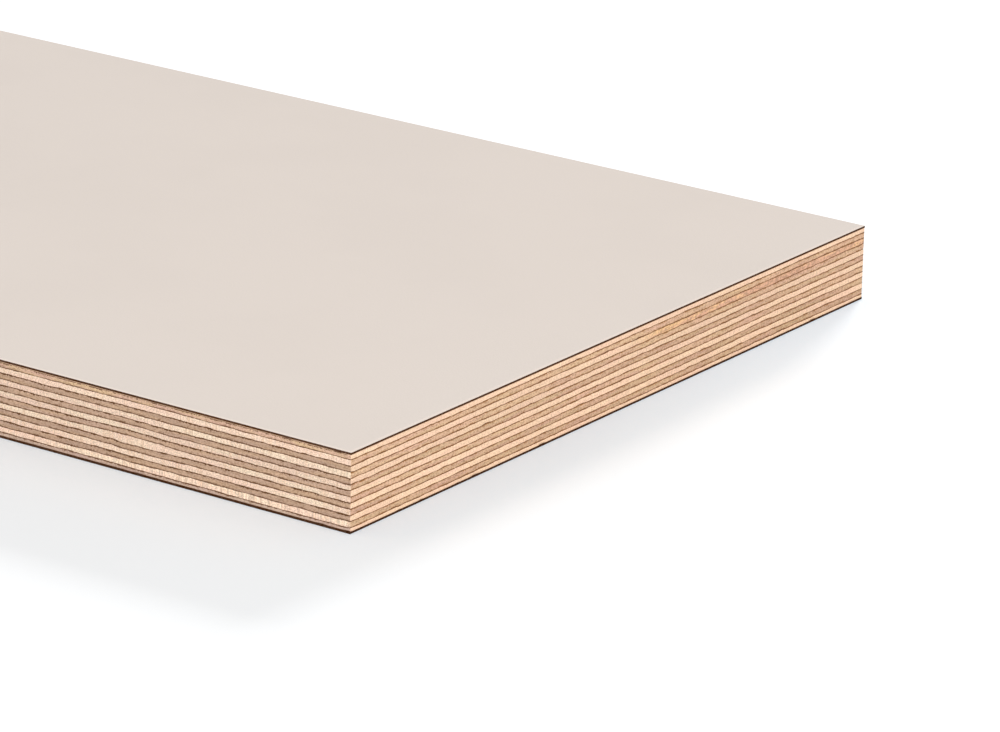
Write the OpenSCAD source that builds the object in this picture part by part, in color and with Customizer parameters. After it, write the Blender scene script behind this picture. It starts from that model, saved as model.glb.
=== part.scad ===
// Laminate-faced birch plywood sheet, cut to size with square sawn edges.
// Veneers lie crosswise on each other between thin glue lines, with a decorative
// laminate bonded to both faces. The sheet lies flat on its back face.
// Origin: centre of the back face. X runs along the long edge, Z through the thickness.

/* [Sheet] */
// Length of the cut sheet, along X
sheet_length = 600; // [300:10:2440]
// Width of the cut sheet, along Y
sheet_width = 200; // [100:5:1220]

/* [Veneers] */
// Number of veneers, odd so that both outer veneers run the same way
veneer_count = 13; // [3:2:21]
// Thickness of an inner veneer after pressing
inner_veneer_thickness = 1.25; // [0.8:0.05:3]
// Thickness of an outer veneer after the board was sanded
outer_veneer_thickness = 0.925; // [0.5:0.025:3]

/* [Bonding] */
// Thickness of one cured glue line
glue_thickness = 0.1; // [0.05:0.01:0.3]

/* [Faces] */
// Thickness of the decorative laminate on each face
laminate_thickness = 0.5; // [0.3:0.05:1.5]
// Decor colour of the laminate
laminate_colour = "#e1d8cf"; // [#e1d8cf:Greige, #f3f1ec:White, #8e9092:Grey, #3c3b3a:Anthracite]

/* [Hidden] */
cross_grain_colour = "#f5d2ad";
long_grain_colour = "#d3ab86";
glue_colour = "#6b4a32";

// Veneers are numbered from the front (top) face down, as a lay-up is written.
function veneer_name(i) =
    str(i < 10 ? "veneer_0" : "veneer_", i, "_", grain_runs_across(i) ? "cross" : "long");

// The outer veneers run across the sheet, and every other one with them.
function grain_runs_across(i) = i % 2 == 1;

function is_outer(i) = i == 1 || i == veneer_count;

function veneer_thickness(i) = is_outer(i) ? outer_veneer_thickness : inner_veneer_thickness;

// How far veneer i's upper side lies below the front face
function depth_of_veneer(i) =
    i == 1
        ? laminate_thickness + glue_thickness
        : depth_of_veneer(i - 1) + veneer_thickness(i - 1) + glue_thickness;

sheet_thickness =
    depth_of_veneer(veneer_count) + veneer_thickness(veneer_count) + glue_thickness + laminate_thickness;

function veneer_top(i) = sheet_thickness - depth_of_veneer(i);

function veneer_bottom(i) = veneer_top(i) - veneer_thickness(i);

// The saw cut every layer to the same outline.
module sawn_outline() {
    square([sheet_length, sheet_width], center = true);
}

module layer(bottom, thickness) {
    translate([0, 0, bottom])
        linear_extrude(height = thickness)
            sawn_outline();
}

module front_laminate() {
    color(laminate_colour)
        layer(sheet_thickness - laminate_thickness, laminate_thickness);
}

module back_laminate() {
    color(laminate_colour)
        layer(0, laminate_thickness);
}

module veneer(i) {
    color(grain_runs_across(i) ? cross_grain_colour : long_grain_colour)
        layer(veneer_bottom(i), veneer_thickness(i));
}

// One glue line over each veneer and one under the last, against the back laminate
module glue_lines() {
    color(glue_colour) {
        for (i = [1 : veneer_count])
            layer(veneer_top(i), glue_thickness);
        layer(laminate_thickness, glue_thickness);
    }
}

front_laminate();
for (i = [1 : veneer_count])
    veneer(i);
glue_lines();
back_laminate();
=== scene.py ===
"""Birch plywood sheet with a greige laminate on its faces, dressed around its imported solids.

Each laminate and each veneer is a piece of its own, and the glue lines between them are one more.
The sawn edges carry the detail: wavy seams, side grain, end grain, saw marks, glue stain and small voids.
"""
import math
from collections import namedtuple
from functools import cache

import bmesh
import bpy
from bpy.props import FloatProperty, FloatVectorProperty, IntProperty, PointerProperty
from mathutils import Matrix, Vector, noise


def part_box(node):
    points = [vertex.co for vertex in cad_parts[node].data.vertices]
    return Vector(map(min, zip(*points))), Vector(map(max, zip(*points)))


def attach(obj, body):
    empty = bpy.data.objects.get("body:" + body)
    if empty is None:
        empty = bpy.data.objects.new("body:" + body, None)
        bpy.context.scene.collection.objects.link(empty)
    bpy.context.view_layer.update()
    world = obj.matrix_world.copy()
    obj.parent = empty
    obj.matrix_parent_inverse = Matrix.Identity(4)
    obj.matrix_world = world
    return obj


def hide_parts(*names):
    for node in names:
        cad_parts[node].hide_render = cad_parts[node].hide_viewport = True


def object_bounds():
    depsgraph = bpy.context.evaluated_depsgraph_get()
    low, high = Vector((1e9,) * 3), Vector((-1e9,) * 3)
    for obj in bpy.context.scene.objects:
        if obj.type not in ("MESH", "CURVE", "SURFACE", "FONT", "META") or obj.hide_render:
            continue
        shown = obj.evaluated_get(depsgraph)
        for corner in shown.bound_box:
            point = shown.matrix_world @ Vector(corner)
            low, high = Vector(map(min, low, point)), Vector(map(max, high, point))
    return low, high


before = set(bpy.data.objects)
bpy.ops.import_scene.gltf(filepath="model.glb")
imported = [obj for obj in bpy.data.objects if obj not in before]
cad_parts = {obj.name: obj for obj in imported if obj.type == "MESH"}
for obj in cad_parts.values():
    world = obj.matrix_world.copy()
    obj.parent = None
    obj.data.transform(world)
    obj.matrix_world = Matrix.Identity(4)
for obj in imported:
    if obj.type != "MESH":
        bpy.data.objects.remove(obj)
CAD_LOW, CAD_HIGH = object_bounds()

bl_info = {
    "name": "Laminate-faced plywood sheet",
    "version": (1, 0, 0),
    "blender": (4, 5, 0),
    "location": "3D View > Sidebar > Plywood",
    "description": "Builds a birch plywood sheet layer by layer, with detailed sawn edges",
    "category": "Add Mesh",
}

MM = 0.001

# Points that are this close count as one place.
TOUCHING = 0.001 * MM

# The lay-up, from the front face down. A seam lies under each layer but the last.
VENEERS = sorted(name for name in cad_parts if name.startswith("veneer_"))
LAYERS = ["front_laminate", *VENEERS, "back_laminate"]
SEAM_COUNT = len(LAYERS) - 1
FRONT_SEAM = 0
BACK_SEAM = SEAM_COUNT - 1
SHEET_LENGTH = CAD_HIGH.x - CAD_LOW.x
SHEET_WIDTH = CAD_HIGH.y - CAD_LOW.y
LONG_SIDES = ("near", "far")

# Places of a veneer's materials in its list.
ON_ENDS = 0
ON_SIDES = 1
ON_FACES = 2

# Noise along the outline. Each layer or seam takes its own slice of it, one slice step from its neighbour's,
# so a small step makes neighbours wave alike.
Wave = namedtuple("Wave", "length strength slice_step first_slice", defaults=[0])
SEAM_WAVES = (
    Wave(length=42 * MM, strength=0.35, slice_step=0.22),
    Wave(length=13 * MM, strength=0.2, slice_step=0.9),
    Wave(length=2.4 * MM, strength=0.27, slice_step=3.1),
)
GLUE_WAVE = Wave(length=4 * MM, strength=0.8, slice_step=2.7, first_slice=40)
VOID_WAVE = Wave(length=3.2 * MM, strength=1, slice_step=5.3, first_slice=90)
TONE_WAVE = Wave(length=30 * MM, strength=0.05, slice_step=3.3)

# Marks of the saw's teeth: their length along the edge, and the slices of noise they pass per metre up it.
TOOTH_LENGTH = 3 * MM
VENEER_TOOTH_SLICES = 200
LAMINATE_TOOTH_SLICES = 300

# A place where a seam leaves its line, at a lapped veneer joint or a knot that was pressed flat. Lengths are
# in millimetres: start and end are x on a long side and y on a short end, and the flanks are its slopes.
# A lift is passed on to the seams above and a drop to those below, each of which takes this share of it.
Flaw = namedtuple("Flaw", "seam wall start end first_flank last_flank lift passed_on")
SEAM_FLAWS = (
    Flaw(8, "near", 236.5, 262, 1, 17, lift=-0.26, passed_on=0.75),
    Flaw(7, "near", 226, 249, 11, 9, lift=0.12, passed_on=0.8),
    Flaw(7, "near", 226, 251, 11, 1, lift=0.2, passed_on=0.7),
    Flaw(9, "right", 44, 62, 15, 3, lift=0.26, passed_on=0.1),
    Flaw(10, "right", 42, 60, 10, 8, lift=0.15, passed_on=0.1),
    Flaw(11, "right", -33, -27, 3, 3, lift=0.15, passed_on=0.1),
    Flaw(3, "far", -120, -90, 2, 22, lift=-0.26, passed_on=0.75),
    Flaw(2, "far", -130, -102, 14, 4, lift=0.24, passed_on=0.8),
    Flaw(6, "left", -40, 10, 30, 3, lift=0.24, passed_on=0.5),
)

# A stretch of one veneer's sawn edge, in millimetres: darker heartwood, or side grain that the saw tore.
Patch = namedtuple("Patch", "veneer wall start end flank strength")
HEARTWOOD = (
    Patch(3, "right", -6, 140, flank=76, strength=1.0),
    Patch(2, "right", 20, 150, flank=45, strength=0.15),
    Patch(6, "far", -215, -95, flank=32, strength=0.9),
    Patch(9, "left", -90, 30, flank=50, strength=0.9),
)
TORN_GRAIN = (
    Patch(12, "near", 150, 430, flank=130, strength=1.0),
    Patch(4, "near", 100, 400, flank=90, strength=0.55),
    Patch(2, "far", -60, 150, flank=80, strength=0.9),
    Patch(10, "far", 100, 260, flank=60, strength=0.5),
)

# Each veneer was peeled from another log, so its edges have a tone of their own. From the front face down.
Tone = namedtuple("Tone", "ends sides")
VENEER_TONES = (
    Tone(ends=0.99, sides=0.95),
    Tone(ends=1.03, sides=1.01),
    Tone(ends=0.95, sides=0.96),
    Tone(ends=1.03, sides=0.97),
    Tone(ends=0.93, sides=1.0),
    Tone(ends=0.96, sides=0.94),
    Tone(ends=0.99, sides=1.04),
    Tone(ends=1.06, sides=0.98),
    Tone(ends=1.02, sides=0.98),
    Tone(ends=0.95, sides=1.0),
    Tone(ends=1.01, sides=0.97),
    Tone(ends=0.94, sides=1.03),
    Tone(ends=1.02, sides=1.03),
)

# Distance to a seam, in millimetres, at which its glue stains nothing.
OUT_OF_REACH = 1.0

# How a piece's faces are spread over its texture map: the walls as rows of strips, the broad faces above.
MapLayout = namedtuple("MapLayout", "pixels_per_step strip_pixels caps_across slabs")
MAP_PIXELS = 1024
MAP_GAP = 4

# Noise textures seldom leave the noise range, so it is spread over the full one.
FULL_RANGE = (0, 1)
NOISE_RANGE = (0.3, 0.7)


# Settings

def colour_property(name, description, default):
    return FloatVectorProperty(name=name, description=description, default=default, subtype="COLOR",
                               size=3, min=0, max=1)


def display_colour(name, description, red, green, blue):
    """A colour given in 8-bit display values, and kept as the linear values that shaders use."""
    shares = (red / 255, green / 255, blue / 255)
    linear = tuple(share / 12.92 if share <= 0.04045 else ((share + 0.055) / 1.055) ** 2.4
                   for share in shares)
    return colour_property(name, description, linear)


def number_property(name, description, default, **limits):
    return FloatProperty(name=name, description=description, default=default, **limits)


def length_property(name, description, default):
    return number_property(name, description, default, min=0, unit="LENGTH", precision=5)


def angle_property(name, description, degrees):
    return number_property(name, description, math.radians(degrees), subtype="ANGLE")


class PlywoodEdgeSettings(bpy.types.PropertyGroup):
    """Relief of the sawn edges"""
    step: length_property("Step", "Spacing of the mesh along the sawn edges", 1.0 * MM)
    rows: IntProperty(name="Rows", description="Rows of faces across a veneer's edge", default=6, min=2)
    seam_wave: length_property("Seam wave", "How far the seams stray from their true height", 0.4 * MM)
    seam_spread: number_property("Seam spread", "How much further apart the seams lie at the edge", 0.013,
                                 min=0, max=0.05)
    seam_drop: length_property("Seam drop", "How much more the back was sanded than the front", 0.12 * MM)
    tooth_relief: length_property("Tooth relief", "Depth of the marks that the saw left", 0.02 * MM)
    seam_groove: length_property("Seam groove", "How far the wood falls back beside a seam", 0.03 * MM)
    glue_smear: number_property("Glue smear", "How much wider the saw left the glue", 1.1, min=1, max=3)
    glue_sink: length_property("Glue sink", "How far the glue lies behind the wood", 0.04 * MM)
    void_depth: length_property("Void depth", "Depth of the small voids along the seams", 0.18 * MM)
    corner_wear: length_property("Corner wear", "How far the four upright corners are blunted", 0.05 * MM)


class BirchSettings(bpy.types.PropertyGroup):
    """Colours of the veneers and the glue"""
    side_cream: display_colour("Cream side grain", "Yellower, on the short ends", 250, 215, 181)
    side_peach: display_colour("Peach side grain", "Pinker, on the short ends", 248, 208, 180)
    side_ivory: display_colour("Ivory side grain", "Yellower, on the long sides", 241, 217, 191)
    side_blush: display_colour("Blush side grain", "Pinker, on the long sides", 238, 206, 185)
    end_tan: display_colour("Tan end grain", "Yellower, on the short ends", 215, 181, 145)
    end_rose: display_colour("Rose end grain", "Pinker, on the short ends", 213, 172, 147)
    end_umber: display_colour("Umber end grain", "Browner, on the long sides", 195, 163, 135)
    end_grey: display_colour("Grey end grain", "Greyer, on the long sides", 187, 157, 137)
    front_honey: display_colour("Honey front veneer", "Yellower end grain under the front", 219, 187, 149)
    front_mauve: display_colour("Mauve front veneer", "Pinker end grain under the front", 214, 176, 155)
    back_ash: display_colour("Ash back veneer", "Greyer end grain above the back", 194, 170, 151)
    back_mauve: display_colour("Mauve back veneer", "Pinker end grain above the back", 192, 164, 151)
    saw_nick: display_colour("Saw nicks", "Upright nicks of the side grain", 222, 186, 155)
    heart_amber: display_colour("Amber heartwood", "Yellow part of a heartwood patch", 242, 196, 146)
    heart_pink: display_colour("Pink heartwood", "Pink part of a heartwood patch", 219, 171, 141)
    pore: display_colour("Pores", "Open pores of the end grain", 150, 112, 84)
    glue: display_colour("Glue", "Cured phenolic glue", 104, 68, 40)
    pale_glue: display_colour("Pale glue", "Glue that holds the laminates", 226, 190, 156)
    faint_stain: display_colour("Faint stain", "Glue in the wood of the short ends", 156, 110, 68)
    deep_stain: display_colour("Deep stain", "Glue in the wood of the long sides", 94, 62, 36)
    outer_stain: display_colour("Outer stain", "Glue in the outer veneers' end grain", 120, 88, 66)


class LaminateSettings(bpy.types.PropertyGroup):
    """Colours and finish of the laminates"""
    decor: display_colour("Decor", "Colour of the faces", 225, 214, 205)
    front_core: display_colour("Front core", "Resin-soaked paper on the front's sawn edge", 76, 46, 25)
    # The back core is darker than the front's: partly its own colour, partly painted shade along the sheet's
    # bottom edge.
    back_core: display_colour("Back core", "Resin-soaked paper on the back's sawn edge", 62, 35, 16)
    roughness: number_property("Roughness", "Roughness of the satin faces", 0.5, min=0, max=1)
    arris: length_property("Arris", "Easing along the edges of the faces", 0.04 * MM)
    # Painted highlight: the decor is drawn lighter in a band along its near and right edges.
    rubbed: display_colour("Edge highlight", "Decor that was rubbed along its edges", 239, 225, 214)
    rub_width: length_property("Highlight width", "Width of the rubbed band", 1.2 * MM)


class StageSettings(bpy.types.PropertyGroup):
    """Floor, light and camera"""
    floor: colour_property("Floor", "Colour of the floor", (0.79, 0.8, 0.808))
    contact_shade: colour_property("Contact shade", "Tint of the floor's glow close to the sheet",
                                   (0.42, 0.7, 0.92))
    floor_glow: number_property("Floor glow", "White added to the floor in view", 0.225, min=0, max=1)
    back_glow: number_property("Back glow", "More white, behind the sheet", 0.11, min=0, max=1)
    sky: number_property("Sky", "Strength of the even light from all round", 0.55, min=0)
    key_power: number_property("Key", "Power of the lamp behind the sheet", 181.0, min=0, unit="POWER")
    fill_power: number_property("Fill", "Power of the large lamp in front", 27.4, min=0, unit="POWER")
    camera_place: FloatVectorProperty(name="Camera place", description="Where the camera stands",
                                      default=(0.96465, -0.99501, 0.4212), subtype="TRANSLATION",
                                      unit="LENGTH")
    camera_heading: angle_property("Heading", "Direction of view, counted from +X towards +Y", 125.039)
    camera_dip: angle_property("Dip", "How far the camera looks down", 18.99)
    camera_roll: angle_property("Roll", "Turn of the camera about its line of view", 1.275)
    camera_lens: number_property("Lens", "Focal length in mm, on a 36 mm wide sensor", 206.5, min=1)


# The sawn outline

def smooth_step(low, high, value):
    """Rises smoothly from 0 at the low value to 1 at the high one."""
    share = min(1.0, max(0.0, (value - low) / (high - low)))
    return share * share * (3 - 2 * share)


def wall_of(x, y):
    """The sawn wall that a point of the outline lies on. The corners belong to the short ends."""
    if abs(x - CAD_HIGH.x) < TOUCHING:
        return "right"
    if abs(x - CAD_LOW.x) < TOUCHING:
        return "left"
    return "far" if y > 0 else "near"


def round_the_sheet(wall, x, y):
    """Distance along the outline, anticlockwise from the near left corner, of a point on one wall."""
    return {
        "near": x - CAD_LOW.x,
        "right": SHEET_LENGTH + y - CAD_LOW.y,
        "far": SHEET_LENGTH + SHEET_WIDTH + CAD_HIGH.x - x,
        "left": 2 * SHEET_LENGTH + SHEET_WIDTH + CAD_HIGH.y - y,
    }[wall]


def inward(x, y):
    """Direction from a point into the sheet, which has no length unless the point is on the outline."""
    at_end = abs(abs(x) - CAD_HIGH.x) < TOUCHING
    at_side = abs(abs(y) - CAD_HIGH.y) < TOUCHING
    return Vector((-math.copysign(at_end, x), -math.copysign(at_side, y), 0))


def noise_at(x, y, slice_depth, length):
    """Smooth noise from -1 to 1 that changes over about this length along the outline."""
    return noise.noise(Vector((x / length, y / length, slice_depth)))


def wave_at(wave, layer, x, y):
    """A wave's value for one layer or seam, counted from the front face."""
    return wave.strength * noise_at(x, y, wave.first_slice + wave.slice_step * layer, wave.length)


def tooth_mark(x, y, slice_depth):
    """How deep the saw's teeth cut at a point of the outline."""
    relief = bpy.context.scene.plywood_edges.tooth_relief
    return relief * (0.5 + 0.5 * noise_at(x, y, slice_depth, TOOTH_LENGTH))


def stretch_share(stretch, wall, x, y, first_flank, last_flank):
    """How far a point lies within a flaw or a patch, from 0 to 1."""
    if stretch.wall != wall:
        return 0.0
    along = (x if wall in LONG_SIDES else y) / MM
    rising = smooth_step(stretch.start, stretch.start + first_flank, along)
    falling = 1 - smooth_step(stretch.end - last_flank, stretch.end, along)
    return rising * falling


def patch_share(patches, veneer, wall, x, y):
    """How strongly these patches show at a point of a veneer's sawn edge, from 0 to 1."""
    return sum(patch.strength * stretch_share(patch, wall, x, y, patch.flank, patch.flank)
               for patch in patches if patch.veneer == veneer)


def edge_tone(veneer, wall, x, y):
    """Brightness of a veneer's sawn edge, which drifts a little along it."""
    tone = VENEER_TONES[(veneer - 1) % len(VENEER_TONES)]
    return (tone.sides if wall in LONG_SIDES else tone.ends) + wave_at(TONE_WAVE, veneer, x, y)


def stain_distance(seam, distance, end_grain):
    """Distance to a seam in millimetres, as its stain takes it."""
    # A laminate's glue stains nothing, apart from the front's, which bleeds far into end grain.
    front_bleed = 0.65
    if seam == FRONT_SEAM and end_grain:
        return front_bleed * distance / MM
    if seam in (FRONT_SEAM, BACK_SEAM):
        return OUT_OF_REACH
    return distance / MM


class SeamLines:
    """Where the glue between two layers meets the sawn outline."""

    def __init__(self):
        self.edges = bpy.context.scene.plywood_edges
        self.boxes = [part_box(layer) for layer in LAYERS]

    @cache
    def heights(self, seam, x, y):
        """Heights of the upper and the lower side of a seam's glue."""
        above = self.boxes[seam][0].z
        below = self.boxes[seam + 1][1].z
        if seam in (FRONT_SEAM, BACK_SEAM):
            return above, below
        wall = wall_of(x, y)
        middle = (above + below) / 2
        middle += self.edges.seam_spread * (middle - (CAD_LOW.z + CAD_HIGH.z) / 2) - self.edges.seam_drop
        middle += self.edges.seam_wave * sum(wave_at(wave, seam, x, y) for wave in SEAM_WAVES)
        middle += sum(self.stray(flaw, seam, wall, x, y) for flaw in SEAM_FLAWS)
        half = (above - below) / 2 * self.swelling(seam, x, y)
        return middle + half, middle - half

    def stray(self, flaw, seam, wall, x, y):
        """How far a flaw moves a seam, with longer slopes the further it is passed on."""
        longer_per_seam = 2
        away = flaw.seam - seam if flaw.lift > 0 else seam - flaw.seam
        if away < 0:
            return 0.0
        longer = longer_per_seam * away
        share = stretch_share(flaw, wall, x, y, flaw.first_flank + longer, flaw.last_flank + longer)
        return flaw.lift * MM * flaw.passed_on ** away * share

    def swelling(self, seam, x, y):
        """How thick the glue shows at the edge, as a share of its true thickness."""
        thinnest = 0.4
        void_widening = 0.4
        share = self.edges.glue_smear * max(thinnest, 1 + wave_at(GLUE_WAVE, seam, x, y))
        return share * (1 + void_widening * self.void(seam, x, y))

    def void(self, seam, x, y):
        """How open a seam is, from 0 to 1, in the short gaps that the glue didn't fill."""
        opens_at = 0.36
        open_from = 0.56
        return smooth_step(opens_at, open_from, wave_at(VOID_WAVE, seam, x, y))

    def fall_back(self, seam, distance, x, y):
        """How far the wood lies back at this distance from a seam, in its groove and its voids."""
        groove_width = 0.15 * MM
        void_width = 0.2 * MM
        groove = self.edges.seam_groove * (1 - smooth_step(0, groove_width, distance))
        void = self.edges.void_depth * self.void(seam, x, y) * (1 - smooth_step(0, void_width, distance))
        return groove + void


# Meshes

def made_mesh(bm, name):
    """Turns a bmesh into a mesh, and frees it."""
    mesh = bpy.data.meshes.new(name)
    bm.to_mesh(mesh)
    bm.free()
    return mesh


def placed_object(name, data):
    """Adds an object to the scene."""
    placed = bpy.data.objects.new(name, data)
    bpy.context.scene.collection.objects.link(placed)
    return placed


def sawn_slab(low, high, rows):
    """A closed slab with finely cut sawn walls and coarse broad faces."""
    step = bpy.context.scene.plywood_edges.step
    size = high - low
    bm = bmesh.new()
    place = Matrix.Translation((low + high) / 2) @ Matrix.Diagonal((*size, 1))
    bmesh.ops.create_cube(bm, size=1, matrix=place)
    broad = [face for face in bm.faces if abs(face.normal.z) > 0.5]
    bmesh.ops.delete(bm, geom=broad, context="FACES_ONLY")
    for axis, cuts in enumerate((round(size.x / step) - 1, round(size.y / step) - 1, rows - 1)):
        along = [edge for edge in bm.edges
                 if abs(edge.verts[0].co[axis] - edge.verts[1].co[axis]) > TOUCHING]
        if cuts > 0:
            bmesh.ops.subdivide_edges(bm, edges=along, cuts=cuts, use_grid_fill=True)
    close_slab(bm, low, high, low.z, Matrix.Rotation(math.pi, 4, "X"))
    close_slab(bm, low, high, high.z, Matrix.Identity(4))
    bmesh.ops.recalc_face_normals(bm, faces=bm.faces)
    return bm


def close_slab(bm, low, high, height, turn):
    """Closes a slab at one height with a coarse grid, bridged to the fine rim of the walls."""
    rim_width = 10 * MM
    cell = 20 * MM
    rim = [edge for edge in bm.edges if edge.is_boundary and
           all(abs(vertex.co.z - height) < TOUCHING for vertex in edge.verts)]
    span_x = high.x - low.x - 2 * rim_width
    span_y = high.y - low.y - 2 * rim_width
    place = Matrix.Translation((0, 0, height)) @ turn @ Matrix.Diagonal((span_x, span_y, 1, 1))
    made = bmesh.ops.create_grid(bm, x_segments=round(span_x / cell), y_segments=round(span_y / cell),
                                 size=0.5, matrix=place)
    grid = set(made["verts"])
    inner = [edge for edge in bm.edges if edge.is_boundary and edge.verts[0] in grid]
    bmesh.ops.bridge_loops(bm, edges=rim + inner)


def is_wall(face):
    """True for the sawn walls of a slab, with the eased arris of a laminate."""
    reach = 0.5 * MM
    return all(abs(vertex.co.x) > CAD_HIGH.x - reach or abs(vertex.co.y) > CAD_HIGH.y - reach
               for vertex in face.verts)


def wall_under(face):
    """The wall that a face of the sawn outline belongs to."""
    if abs(face.normal.x) > abs(face.normal.y):
        return "right" if face.normal.x > 0 else "left"
    return "far" if face.normal.y > 0 else "near"


def spread_over_map(bm, layout, low, high, slab=0):
    """Gives a slab its places on the texture map, with far more room for its walls than for hidden faces."""
    step = bpy.context.scene.plywood_edges.step
    uv = bm.loops.layers.uv.new("OFBake")
    steps = round(2 * (SHEET_LENGTH + SHEET_WIDTH) / step)
    steps_per_strip = (MAP_PIXELS - 2 * MAP_GAP) // layout.pixels_per_step
    strips = math.ceil(steps / steps_per_strip)
    pitch = layout.strip_pixels + MAP_GAP
    caps_from = MAP_GAP + layout.slabs * strips * pitch
    cap_rows = math.ceil(2 * layout.slabs / layout.caps_across)
    cell = Vector(((MAP_PIXELS - MAP_GAP) / layout.caps_across, (MAP_PIXELS - caps_from) / cap_rows))
    for face in bm.faces:
        middle = face.calc_center_median()
        if is_wall(face):
            wall = wall_under(face)
            column = int(round_the_sheet(wall, middle.x, middle.y) / step)
            strip, place = divmod(column, steps_per_strip)
            for loop in face.loops:
                co = loop.vert.co
                within = round_the_sheet(wall, co.x, co.y) / step - column
                share = (co.z - low.z) / (high.z - low.z)
                loop[uv].uv = (
                    (MAP_GAP + (place + min(1, max(0, within))) * layout.pixels_per_step) / MAP_PIXELS,
                    (MAP_GAP + (slab * strips + strip) * pitch + share * layout.strip_pixels) / MAP_PIXELS,
                )
        else:
            upper = face.normal.z > 0
            row, column = divmod(2 * slab + upper, layout.caps_across)
            for loop in face.loops:
                across = 0.5 + loop.vert.co.x / SHEET_LENGTH * (1 if upper else -1)
                along = 0.5 + loop.vert.co.y / SHEET_WIDTH
                loop[uv].uv = (
                    (MAP_GAP + column * cell.x + across * (cell.x - MAP_GAP)) / MAP_PIXELS,
                    (caps_from + row * cell.y + along * (cell.y - MAP_GAP)) / MAP_PIXELS,
                )


def finish_piece(bm, node, materials, sharp_angle=math.radians(40)):
    """Turns a bmesh into the piece that stands for a CAD node."""
    for face in bm.faces:
        face.smooth = True
    for edge in bm.edges:
        edge.smooth = edge.calc_face_angle(math.pi) < sharp_angle
    mesh = made_mesh(bm, node)
    for material in materials:
        mesh.materials.append(material)
    piece = placed_object(f"{node}_dressed", mesh)
    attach(piece, "root")
    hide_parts(node)


def runs_across(veneer_node):
    """True where a veneer's grain runs across the sheet."""
    return veneer_node.endswith("cross")


def shaped_veneer(number, seams):
    """The mesh of one veneer, counted from the front face, with the relief of its sawn edge."""
    edges = bpy.context.scene.plywood_edges
    node = VENEERS[number - 1]
    low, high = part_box(node)
    bm = sawn_slab(low, high, edges.rows)
    spread_over_map(bm, MapLayout(pixels_per_step=15, strip_pixels=19, caps_across=1, slabs=1), low, high)
    for face in bm.faces:
        on_wall = ON_SIDES if wall_under(face) in LONG_SIDES else ON_ENDS
        face.material_index = on_wall if is_wall(face) else ON_FACES
    to_seam = bm.verts.layers.float.new("to_seam")
    across = bm.verts.layers.float.new("across")
    heart = bm.verts.layers.float.new("heart")
    torn = bm.verts.layers.float.new("torn")
    tone = bm.verts.layers.float.new("tone")
    for vertex in bm.verts:
        x, y, z = vertex.co
        direction = inward(x, y)
        vertex[across] = 0.5
        vertex[to_seam] = OUT_OF_REACH
        vertex[tone] = 1.0
        if not direction.length:
            continue
        wall = wall_of(x, y)
        end_grain = runs_across(node) == (wall in LONG_SIDES)
        # The rows lie closer together towards the seams.
        share = 0.5 - 0.5 * math.cos(math.pi * (z - low.z) / (high.z - low.z))
        top = seams.heights(number - 1, x, y)[1]
        bottom = seams.heights(number, x, y)[0]
        vertex.co.z = bottom + share * (top - bottom)
        nearest = number - 1 if share > 0.5 else number
        distance = min(share, 1 - share) * (top - bottom)
        sink = tooth_mark(x, y, VENEER_TOOTH_SLICES * z + number) + seams.fall_back(nearest, distance, x, y)
        if end_grain:
            sink += edges.tooth_relief
        if direction.length > 1:
            sink += edges.corner_wear
        vertex.co += direction * sink
        vertex[across] = share
        vertex[to_seam] = stain_distance(nearest, distance, end_grain)
        vertex[tone] = edge_tone(number, wall, x, y)
        vertex[heart] = patch_share(HEARTWOOD, number, wall, x, y)
        vertex[torn] = patch_share(TORN_GRAIN, number, wall, x, y)
    return bm


def shaped_glue_line(seam, seams):
    """The mesh of one glue line, counted from the front face, a little behind the sawn wood."""
    edges = bpy.context.scene.plywood_edges
    low, high = (corner.copy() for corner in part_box("glue_lines"))
    high.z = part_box(LAYERS[seam])[0].z
    low.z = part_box(LAYERS[seam + 1])[1].z
    bm = sawn_slab(low, high, rows=1)
    layout = MapLayout(pixels_per_step=4, strip_pixels=2, caps_across=4, slabs=SEAM_COUNT)
    spread_over_map(bm, layout, low, high, slab=seam)
    middle = (low.z + high.z) / 2
    for vertex in bm.verts:
        x, y, z = vertex.co
        direction = inward(x, y)
        if direction.length:
            vertex.co.z = seams.heights(seam, x, y)[0 if z > middle else 1]
            vertex.co += direction * (edges.glue_sink + edges.void_depth * seams.void(seam, x, y))
    # The laminates' glue is pale, apart from the back's on the long sides.
    for face in bm.faces:
        pale = seam == FRONT_SEAM or (seam == BACK_SEAM and wall_under(face) not in LONG_SIDES)
        face.material_index = 1 if pale else 0
    return bm


def shaped_laminate(node):
    """The mesh of one laminate: a decor face with an eased arris, and a core that shows on the sawn edge."""
    arris = bpy.context.scene.plywood_laminate.arris
    low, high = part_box(node)
    outside = high.z if node.startswith("front") else low.z
    bm = sawn_slab(low, high, rows=3)
    on_rim = {vertex for vertex in bm.verts
              if abs(vertex.co.z - outside) < TOUCHING and inward(vertex.co.x, vertex.co.y).length}
    rim = [edge for edge in bm.edges if on_rim.issuperset(edge.verts)]
    bmesh.ops.bevel(bm, geom=rim, offset=arris, offset_type="OFFSET", segments=2, profile=0.5,
                    affect="EDGES", material=-1, clamp_overlap=True)
    bm.normal_update()
    spread_over_map(bm, MapLayout(pixels_per_step=8, strip_pixels=6, caps_across=1, slabs=1), low, high)
    for face in bm.faces:
        at_face = abs(face.normal.z) > 0.9 and abs(face.calc_center_median().z - outside) < arris
        face.material_index = 0 if at_face else 1
    for vertex in bm.verts:
        x, y, z = vertex.co
        direction = inward(x, y)
        if direction.length:
            vertex.co += direction * tooth_mark(x, y, LAMINATE_TOOTH_SLICES * z)
    return bm


# Shader nodes

def add_node(tree, kind, inputs=None, **settings):
    """Adds a shader node. An input is a plain value, or the output socket that feeds it."""
    node = tree.nodes.new(f"ShaderNode{kind}")
    for name, value in settings.items():
        setattr(node, name, value)
    for socket, value in (inputs or {}).items():
        if isinstance(value, bpy.types.NodeSocket):
            tree.links.new(value, node.inputs[socket])
        else:
            node.inputs[socket].default_value = value
    return node


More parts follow.
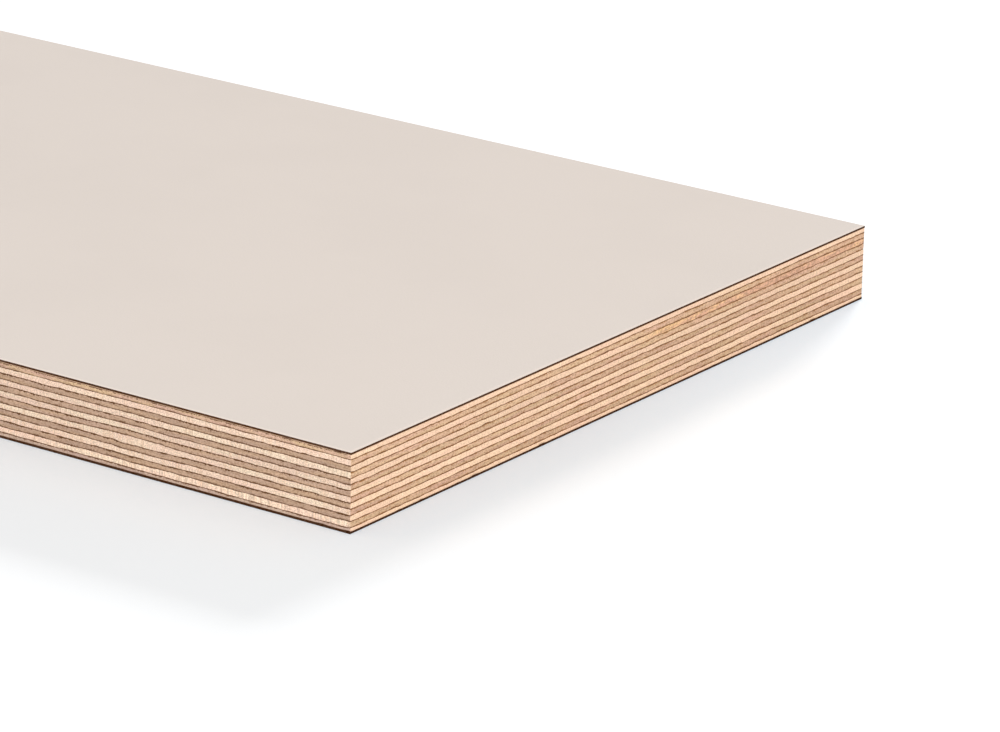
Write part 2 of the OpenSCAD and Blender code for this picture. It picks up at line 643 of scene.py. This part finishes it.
def math_node(tree, operation, first, second=0.0):
    return add_node(tree, "Math", {0: first, 1: second}, operation=operation).outputs[0]


def in_range(tree, value, old, new=FULL_RANGE):
    """Maps a value from an old range to a new one, smoothly and clamped."""
    limits = {"Value": value, "From Min": old[0], "From Max": old[1], "To Min": new[0], "To Max": new[1]}
    return add_node(tree, "MapRange", limits, interpolation_type="SMOOTHSTEP").outputs["Result"]


def mixed(tree, factor, first, second):
    """Mixes two colours, each given as three values or as a socket."""
    first, second = (colour if isinstance(colour, bpy.types.NodeSocket) else (*colour, 1)
                     for colour in (first, second))
    return add_node(tree, "Mix", {0: factor, 6: first, 7: second}, data_type="RGBA").outputs[2]


def brightened(tree, colour, factor):
    """Multiplies a colour by a value."""
    return add_node(tree, "VectorMath", {0: colour, "Scale": factor}, operation="SCALE").outputs[0]


def varied(tree, colour, pattern, factors):
    """Brightens a colour by a range of factors that follows a pattern from 0 to 1."""
    return brightened(tree, colour, in_range(tree, pattern, FULL_RANGE, factors))


def attribute(tree, name):
    return add_node(tree, "Attribute", attribute_name=name).outputs["Fac"]


def noise_texture(tree, lengths, detail=2.0, roughness=0.5, shift=0.0):
    """Noise that changes over these lengths along X, Y and Z, in metres. A length may be a socket."""
    place = add_node(tree, "TexCoord").outputs["Object"]
    lengths = add_node(tree, "CombineXYZ", dict(enumerate(lengths))).outputs[0]
    place = add_node(tree, "VectorMath", {0: place, 1: lengths}, operation="DIVIDE").outputs[0]
    place = add_node(tree, "VectorMath", {0: place, 1: (shift, shift, shift)}, operation="ADD").outputs[0]
    settings = {"Vector": place, "Scale": 1.0, "Detail": detail, "Roughness": roughness}
    return add_node(tree, "TexNoise", settings).outputs["Fac"]


def new_group(name, inputs, output):
    """A shader node group with value inputs and one value output."""
    group = bpy.data.node_groups.new(name, "ShaderNodeTree")
    for socket, default in inputs.items():
        made = group.interface.new_socket(socket, in_out="INPUT", socket_type="NodeSocketFloat")
        made.default_value = default
    group.interface.new_socket(output, in_out="OUTPUT", socket_type="NodeSocketFloat")
    return group, group.nodes.new("NodeGroupInput").outputs, group.nodes.new("NodeGroupOutput").inputs


def placed_group(tree, make, **values):
    """Places a shared group in a material, and makes the group the first time that it is asked for."""
    node = add_node(tree, "Group", node_tree=bpy.data.node_groups.get(make.__name__) or make())
    for name, value in values.items():
        node.inputs[name.replace("_", " ").title()].default_value = value
    return node.outputs[0]


def tone_drift():
    """Slow change of tone along the edge, and from one veneer to the next."""
    group, inputs, outputs = new_group("tone_drift", {"Patch Length": 30 * MM}, "Factor")
    veneer_pitch = 1.35 * MM
    length = inputs["Patch Length"]
    value = noise_texture(group, (length, length, veneer_pitch), detail=3)
    group.links.new(in_range(group, value, (0.32, 0.68)), outputs["Factor"])
    return group


def drawn_out_noise(name, length, thickness, **settings):
    """A group of noise with one size along the edge and another up it."""
    group, inputs, outputs = new_group(name, {"Length": length, "Thickness": thickness}, "Factor")
    along = inputs["Length"]
    value = noise_texture(group, (along, along, inputs["Thickness"]), **settings)
    group.links.new(in_range(group, value, NOISE_RANGE), outputs["Factor"])
    return group


def fibre_streaks():
    """Fine lines along the veneers."""
    return drawn_out_noise("fibre_streaks", 18 * MM, 0.16 * MM, detail=3, roughness=0.6)


def fine_speckle():
    """Specks that may be drawn out along the veneers."""
    return drawn_out_noise("fine_speckle", 0.4 * MM, 0.2 * MM, detail=1, shift=3)


def saw_marks():
    """Upright lines across the edge, from the teeth of the saw."""
    pitches_tall = 14
    group, inputs, outputs = new_group("saw_marks", {"Pitch": 0.7 * MM}, "Height")
    pitch = inputs["Pitch"]
    tall = math_node(group, "MULTIPLY", pitch, pitches_tall)
    value = noise_texture(group, (pitch, pitch, tall), detail=2, shift=7)
    group.links.new(in_range(group, value, NOISE_RANGE), outputs["Height"])
    return group


def glue_stain():
    """Wood beside a seam that soaked up glue. Reach is in millimetres."""
    group, inputs, outputs = new_group("glue_stain", {"Reach": 0.16}, "Mask")
    ragged = noise_texture(group, (0.35 * MM, 0.35 * MM, 0.4 * MM), detail=2, shift=11)
    patchy = noise_texture(group, (2.2 * MM, 2.2 * MM, 0.7 * MM), detail=2, shift=17)
    reach = math_node(group, "MULTIPLY", inputs["Reach"], in_range(group, ragged, NOISE_RANGE, (0.2, 1.8)))
    reach = math_node(group, "MULTIPLY", reach, in_range(group, patchy, NOISE_RANGE, (0.3, 1.7)))
    distance = math_node(group, "DIVIDE", attribute(group, "to_seam"), reach)
    group.links.new(in_range(group, distance, (0.35, 1.0), (1.0, 0.0)), outputs["Mask"])
    return group


# Materials

def new_material(name, specular):
    material = bpy.data.materials.new(name)
    material.use_nodes = True
    shader = material.node_tree.nodes["Principled BSDF"]
    shader.inputs["Specular IOR Level"].default_value = specular
    return material, material.node_tree, shader


def bumped(tree, shader, height, depth):
    """Gives a shader the relief of a height from 0 to 1, this deep in metres."""
    bump = add_node(tree, "Bump", {"Height": height, "Strength": 0.6, "Distance": depth})
    tree.links.new(bump.outputs["Normal"], shader.inputs["Normal"])


def finished(tree, shader, colour, pattern, roughness):
    """Gives a shader its colour, and a range of roughness that follows a pattern from 0 to 1."""
    tree.links.new(colour, shader.inputs["Base Color"])
    tree.links.new(in_range(tree, pattern, FULL_RANGE, roughness), shader.inputs["Roughness"])


def birch_side_grain(name, cream, peach, stain, nick_strength, speck_length, speck_strength):
    """Birch cut along its fibres: pale, with faint streaks and nicks, and tears where the saw tore it."""
    birch = bpy.context.scene.plywood_birch
    speck_dark = 1 - 0.14 * speck_strength
    speck_light = 1 + 0.11 * speck_strength
    heart_rim = (0, 0.2)
    material, tree, shader = new_material(name, specular=0.2)
    drift = placed_group(tree, tone_drift, patch_length=12 * MM)
    streaks = placed_group(tree, fibre_streaks, length=14 * MM, thickness=0.18 * MM)
    nicks = placed_group(tree, saw_marks, pitch=0.8 * MM)
    clusters = placed_group(tree, tone_drift, patch_length=9 * MM)
    tears = placed_group(tree, saw_marks, pitch=0.45 * MM)
    speckle = placed_group(tree, fine_speckle, length=speck_length, thickness=0.3 * MM)
    colour = mixed(tree, drift, cream, peach)
    colour = varied(tree, colour, streaks, (0.95, 1.04))
    strength = in_range(tree, clusters, FULL_RANGE, (0.4 * nick_strength, nick_strength))
    nicks_shown = math_node(tree, "MULTIPLY", in_range(tree, nicks, (0.35, 1)), strength)
    colour = mixed(tree, nicks_shown, colour, birch.saw_nick)
    torn_colour = varied(tree, colour, tears, (1.14, 0.83))
    colour = mixed(tree, attribute(tree, "torn"), colour, torn_colour)
    colour = varied(tree, colour, speckle, (speck_dark, speck_light))
    colour = mixed(tree, in_range(tree, attribute(tree, "heart"), heart_rim), colour, mottled_heart(tree))
    colour = brightened(tree, colour, attribute(tree, "tone"))
    colour = mixed(tree, placed_group(tree, glue_stain, reach=0.06), colour, stain)
    finished(tree, shader, colour, streaks, (0.58, 0.7))
    bumped(tree, shader, math_node(tree, "ADD", nicks, speckle), depth=0.02 * MM)
    return material


def mottled_heart(tree):
    """Heartwood colour, amber at the rim and pink further in, in short patches with darker flecks."""
    birch = bpy.context.scene.plywood_birch
    patches = placed_group(tree, fine_speckle, length=5 * MM, thickness=0.8 * MM)
    flecks = placed_group(tree, fine_speckle, length=0.7 * MM, thickness=0.4 * MM)
    further_in = in_range(tree, attribute(tree, "heart"), FULL_RANGE, (-0.4, 0.6))
    pinkness = in_range(tree, math_node(tree, "ADD", further_in, patches), FULL_RANGE)
    colour = mixed(tree, pinkness, birch.heart_amber, birch.heart_pink)
    return varied(tree, colour, flecks, (0.79, 1.17))


def birch_end_grain(name, warm, cool, stain, lower_stain_and_shade, patch=14 * MM):
    """Birch cut across its fibres: darker, with open pores and faint growth rings.

    The argument after the stain colour is how strongly the seam below darkens it, as a share of the seam
    above, where painted shade under the proud ply above is added to the glue stain.
    """
    birch = bpy.context.scene.plywood_birch
    heart_strength = 0.6
    material, tree, shader = new_material(name, specular=0.15)
    drift = placed_group(tree, tone_drift, patch_length=patch)
    rings = placed_group(tree, fibre_streaks, length=7 * MM, thickness=0.3 * MM)
    pores = placed_group(tree, fine_speckle, length=0.55 * MM, thickness=0.24 * MM)
    marks = placed_group(tree, saw_marks, pitch=0.5 * MM)
    colour = mixed(tree, drift, warm, cool)
    colour = varied(tree, colour, rings, (0.92, 1.07))
    colour = varied(tree, colour, marks, (0.95, 1.05))
    colour = mixed(tree, in_range(tree, pores, (0.6, 1), (0, 0.5)), colour, birch.pore)
    colour = brightened(tree, colour, in_range(tree, pores, (0, 0.35), (1.09, 1.0)))
    heart_shown = math_node(tree, "MULTIPLY", attribute(tree, "heart"), heart_strength)
    colour = mixed(tree, heart_shown, colour, mottled_heart(tree))
    colour = brightened(tree, colour, attribute(tree, "tone"))
    # Painted shade: beside the seam above, under the ply above, the stain is drawn darker than beside the
    # seam below.
    share = in_range(tree, attribute(tree, "across"), FULL_RANGE, (lower_stain_and_shade, 1.0))
    stain_and_shade = math_node(tree, "MULTIPLY", placed_group(tree, glue_stain, reach=0.19), share)
    colour = mixed(tree, stain_and_shade, colour, stain)
    finished(tree, shader, colour, pores, (0.66, 0.8))
    bumped(tree, shader, math_node(tree, "SUBTRACT", marks, pores), depth=0.03 * MM)
    return material


def birch_face(name, grain_across):
    """The broad side of a peeled veneer, which lies hidden in the sheet: long figure along the grain."""
    birch = bpy.context.scene.plywood_birch
    along_grain = 160 * MM
    across_grain = 9 * MM
    through = 20 * MM
    lengths = (across_grain, along_grain, through) if grain_across else (along_grain, across_grain, through)
    material, tree, shader = new_material(name, specular=0.25)
    figure = in_range(tree, noise_texture(tree, lengths, detail=4, roughness=0.55), (0.35, 0.65))
    colour = mixed(tree, figure, birch.side_cream, birch.end_rose)
    finished(tree, shader, colour, figure, (0.6, 0.7))
    return material


def lay_up_materials(birch):
    """Materials of each veneer, from the front face down: on its short ends, long sides and broad faces."""
    side_on_ends = birch_side_grain(
        "side_grain_on_ends", birch.side_cream, birch.side_peach, birch.faint_stain,
        nick_strength=0.4, speck_length=0.5 * MM, speck_strength=1.0)
    side_on_sides = birch_side_grain(
        "side_grain_on_sides", birch.side_ivory, birch.side_blush, birch.deep_stain,
        nick_strength=0.6, speck_length=0.4 * MM, speck_strength=1.4)
    end_on_ends = birch_end_grain(
        "end_grain_on_ends", birch.end_tan, birch.end_rose, birch.faint_stain, lower_stain_and_shade=1.0)
    end_on_sides = birch_end_grain(
        "end_grain_on_sides", birch.end_umber, birch.end_grey, birch.deep_stain, lower_stain_and_shade=0.65)
    across = (side_on_ends, end_on_sides, birch_face("face_grain_across", grain_across=True))
    along = (end_on_ends, side_on_sides, birch_face("face_grain_along", grain_across=False))
    lay_up = [list(across if runs_across(veneer) else along) for veneer in VENEERS]
    lay_up[0][ON_SIDES] = birch_end_grain(
        "end_grain_of_front_veneer", birch.front_honey, birch.front_mauve, birch.outer_stain,
        lower_stain_and_shade=0.3, patch=6 * MM)
    lay_up[-1][ON_SIDES] = birch_end_grain(
        "end_grain_of_back_veneer", birch.back_ash, birch.back_mauve, birch.outer_stain, lower_stain_and_shade=0.65)
    return lay_up


def cured_glue(name, colour, dust_colour):
    """Cured glue, with wood dust that the saw worked into it."""
    material, tree, shader = new_material(name, specular=0.15)
    dust = placed_group(tree, fibre_streaks, length=1.6 * MM, thickness=0.2 * MM)
    colour = mixed(tree, in_range(tree, dust, (0.4, 1), (0, 0.7)), colour, dust_colour)
    finished(tree, shader, colour, dust, (0.45, 0.7))
    return material


def laminate_decor():
    """Matt decor paper under a fine pearl texture, with a highlight painted a little lighter along two of
    its edges.
    """
    laminate = bpy.context.scene.plywood_laminate
    width = laminate.rub_width
    highlight_strength = 0.7
    material, tree, shader = new_material("laminate_decor", specular=0.15)
    clouds = placed_group(tree, tone_drift, patch_length=45 * MM)
    pearl = placed_group(tree, fine_speckle, length=0.5 * MM, thickness=0.5 * MM)
    colour = varied(tree, laminate.decor, clouds, (0.993, 1.007))
    colour = varied(tree, colour, pearl, (0.99, 1.01))
    place = add_node(tree, "TexCoord").outputs["Object"]
    place = add_node(tree, "SeparateXYZ", {0: place}).outputs
    # Painted highlight along the near and right edges of the decor.
    for axis, edge, inwards in (("X", CAD_HIGH.x, -width), ("Y", CAD_LOW.y, width)):
        highlight = in_range(tree, place[axis], (edge + inwards, edge + inwards / 2), (0, highlight_strength))
        colour = mixed(tree, highlight, colour, laminate.rubbed)
    finished(tree, shader, colour, pearl, (laminate.roughness - 0.05, laminate.roughness + 0.05))
    bumped(tree, shader, pearl, depth=0.012 * MM)
    return material


def laminate_core(name, core):
    """Resin-soaked paper, which the saw left dark and finely lined."""
    laminate = bpy.context.scene.plywood_laminate
    material, tree, shader = new_material(name, specular=0.0)
    papers = placed_group(tree, fibre_streaks, length=30 * MM, thickness=0.09 * MM)
    marks = placed_group(tree, saw_marks, pitch=0.6 * MM)
    colour = mixed(tree, in_range(tree, marks, FULL_RANGE, (0, 0.03)), core, laminate.decor)
    colour = varied(tree, colour, papers, (0.75, 1.3))
    finished(tree, shader, colour, papers, (0.42, 0.6))
    bumped(tree, shader, marks, depth=0.02 * MM)
    return material


# Stage

def seen_directly(tree):
    """1 for what the camera sees, also by way of gloss or glass."""
    path = add_node(tree, "LightPath").outputs
    rays = math_node(tree, "ADD", path["Is Camera Ray"], path["Is Glossy Ray"])
    rays = math_node(tree, "ADD", rays, path["Is Transmission Ray"])
    return math_node(tree, "MINIMUM", rays, 1.0)


def glow_tint(tree):
    """Colour of the floor's glow: white in the open, and the contact shade close to the sheet."""
    shade_reach = 20 * MM
    open_range = (0.45, 1)
    # The lean makes the shade stronger along the right and far edges than along the other two.
    lean = Vector((-0.4, -0.3, 1)).normalized()
    lean = add_node(tree, "CombineXYZ", dict(enumerate(lean))).outputs[0]
    hiding = {"Distance": shade_reach, "Normal": lean}
    open_share = add_node(tree, "AmbientOcclusion", hiding, samples=4).outputs["AO"]
    shade = bpy.context.scene.plywood_stage.contact_shade
    return mixed(tree, in_range(tree, open_share, open_range), shade, (1, 1, 1))


def floor_material():
    """White paper with a glow that only the camera sees, which turns it plain white away from the sheet."""
    stage = bpy.context.scene.plywood_stage
    fade = (0.35, 0.7)
    material, tree, shader = new_material("floor_paper", specular=0.0)
    shader.inputs["Base Color"].default_value = (*stage.floor, 1)
    shader.inputs["Roughness"].default_value = 1.0
    place = add_node(tree, "TexCoord").outputs["Object"]
    distance = add_node(tree, "VectorMath", {0: place}, operation="LENGTH").outputs["Value"]
    glow = in_range(tree, distance, fade, (stage.floor_glow, 1.0))
    depth = add_node(tree, "SeparateXYZ", {0: place}).outputs["Y"]
    behind = in_range(tree, depth, (CAD_LOW.y / 2, CAD_HIGH.y), (0, stage.back_glow))
    glow = math_node(tree, "ADD", glow, behind)
    glow = math_node(tree, "MULTIPLY", seen_directly(tree), glow)
    light = add_node(tree, "Emission", {"Color": glow_tint(tree), "Strength": glow})
    both = add_node(tree, "AddShader", {0: shader.outputs[0], 1: light.outputs[0]})
    tree.links.new(both.outputs[0], tree.nodes["Material Output"].inputs["Surface"])
    return material


def make_floor():
    span = 12.0
    bm = bmesh.new()
    place = Matrix.Translation((0, 0, CAD_LOW.z)) @ Matrix.Diagonal((span, span, 1, 1))
    bmesh.ops.create_grid(bm, x_segments=1, y_segments=1, size=0.5, matrix=place)
    mesh = made_mesh(bm, "floor")
    mesh.materials.append(floor_material())
    floor = placed_object("floor", mesh)


def make_sky():
    """Even light from all round, which the camera sees as white."""
    world = bpy.data.worlds.new("studio")
    world.use_nodes = True
    tree = world.node_tree
    sky = tree.nodes["Background"]
    sky.inputs["Color"].default_value = (1, 1, 1, 1)
    sky.inputs["Strength"].default_value = bpy.context.scene.plywood_stage.sky
    white = add_node(tree, "Background", {"Color": (1, 1, 1, 1), "Strength": 1.0})
    either = add_node(tree, "MixShader", {0: seen_directly(tree), 1: sky.outputs[0], 2: white.outputs[0]})
    tree.links.new(either.outputs[0], tree.nodes["World Output"].inputs["Surface"])
    bpy.context.scene.world = world


def make_lamp(name, azimuth, elevation, distance, width, height, power):
    """A flat lamp aimed at the sheet's right half, from an azimuth counted from +X and an elevation."""
    aim = Vector((CAD_HIGH.x / 2, 0, 0))
    turn = Matrix.Rotation(math.radians(azimuth), 3, "Z")
    turn = turn @ Matrix.Rotation(math.radians(-elevation), 3, "Y")
    light = bpy.data.lights.new(name, "AREA")
    light.shape = "RECTANGLE"
    light.size = width
    light.size_y = height
    light.energy = power
    lamp = placed_object(name, light)
    lamp.visible_glossy = False
    lamp.location = aim + turn @ Vector((distance, 0, 0))
    lamp.rotation_euler = (aim - lamp.location).to_track_quat("-Z", "Y").to_euler()


def make_camera():
    stage = bpy.context.scene.plywood_stage
    data = bpy.data.cameras.new("camera")
    data.sensor_width = 36
    data.lens = stage.camera_lens
    camera = placed_object("camera", data)
    heading = Matrix.Rotation(stage.camera_heading - math.pi / 2, 4, "Z")
    dip = Matrix.Rotation(math.pi / 2 - stage.camera_dip, 4, "X")
    roll = Matrix.Rotation(stage.camera_roll, 4, "Z")
    camera.matrix_world = Matrix.Translation(stage.camera_place) @ heading @ dip @ roll
    bpy.context.scene.camera = camera


# Operators

class PLYWOOD_OT_stage(bpy.types.Operator):
    """Set up the floor, the light and the camera"""
    bl_idname = "plywood.stage"
    bl_label = "Stage"

    def execute(self, context):
        stage = context.scene.plywood_stage
        context.scene.view_settings.view_transform = "Standard"
        make_floor()
        make_sky()
        make_lamp("key_lamp", azimuth=107, elevation=17.4, distance=5.0, width=1.25, height=0.45,
                  power=stage.key_power)
        make_lamp("fill_lamp", azimuth=-45, elevation=20, distance=2.0, width=1.6, height=1.0,
                  power=stage.fill_power)
        make_camera()
        return {"FINISHED"}


class PLYWOOD_OT_laminates(bpy.types.Operator):
    """Press the decorative laminates onto both faces"""
    bl_idname = "plywood.laminates"
    bl_label = "Laminates"

    def execute(self, context):
        laminate = context.scene.plywood_laminate
        decor = laminate_decor()
        for node, core in (("front_laminate", laminate.front_core), ("back_laminate", laminate.back_core)):
            materials = [decor, laminate_core(f"{node}_core", core)]
            finish_piece(shaped_laminate(node), node, materials, sharp_angle=math.radians(20))
        return {"FINISHED"}


class PLYWOOD_OT_veneers(bpy.types.Operator):
    """Lay up the veneers crosswise, with their grain showing on the sawn edges"""
    bl_idname = "plywood.veneers"
    bl_label = "Veneers"

    def execute(self, context):
        lay_up = lay_up_materials(context.scene.plywood_birch)
        seams = SeamLines()
        for number, node in enumerate(VENEERS, start=1):
            finish_piece(shaped_veneer(number, seams), node, lay_up[number - 1])
        return {"FINISHED"}


class PLYWOOD_OT_glue_lines(bpy.types.Operator):
    """Spread the glue between the layers"""
    bl_idname = "plywood.glue_lines"
    bl_label = "Glue lines"

    def execute(self, context):
        seams = SeamLines()
        all_lines = bmesh.new()
        for seam in range(SEAM_COUNT):
            mesh = made_mesh(shaped_glue_line(seam, seams), "glue_line")
            all_lines.from_mesh(mesh)
            bpy.data.meshes.remove(mesh)
        birch = context.scene.plywood_birch
        materials = [
            cured_glue("phenolic_glue", birch.glue, birch.deep_stain),
            cured_glue("laminate_glue", birch.pale_glue, birch.side_peach),
        ]
        finish_piece(all_lines, "glue_lines", materials)
        return {"FINISHED"}


class PLYWOOD_PT_sheet(bpy.types.Panel):
    """Lists the steps that build the sheet, and their settings"""
    bl_label = "Plywood sheet"
    bl_space_type = "VIEW_3D"
    bl_region_type = "UI"
    bl_category = "Plywood"

    def draw(self, context):
        for step in STEPS:
            self.layout.operator(step.bl_idname)
        for name, group in SETTINGS.items():
            box = self.layout.box()
            for setting in group.__annotations__:
                box.prop(getattr(context.scene, name), setting)


STEPS = (PLYWOOD_OT_stage, PLYWOOD_OT_laminates, PLYWOOD_OT_veneers, PLYWOOD_OT_glue_lines)
SETTINGS = {
    "plywood_edges": PlywoodEdgeSettings,
    "plywood_birch": BirchSettings,
    "plywood_laminate": LaminateSettings,
    "plywood_stage": StageSettings,
}
CLASSES = (*SETTINGS.values(), *STEPS, PLYWOOD_PT_sheet)


def register():
    for each in CLASSES:
        bpy.utils.register_class(each)
    for name, group in SETTINGS.items():
        setattr(bpy.types.Scene, name, PointerProperty(type=group))


def unregister():
    for name in SETTINGS:
        delattr(bpy.types.Scene, name)
    for each in reversed(CLASSES):
        bpy.utils.unregister_class(each)


def main():
    register()
    bpy.ops.plywood.stage()
    bpy.ops.plywood.laminates()
    bpy.ops.plywood.veneers()
    bpy.ops.plywood.glue_lines()


if __name__ == "__main__":
    main()
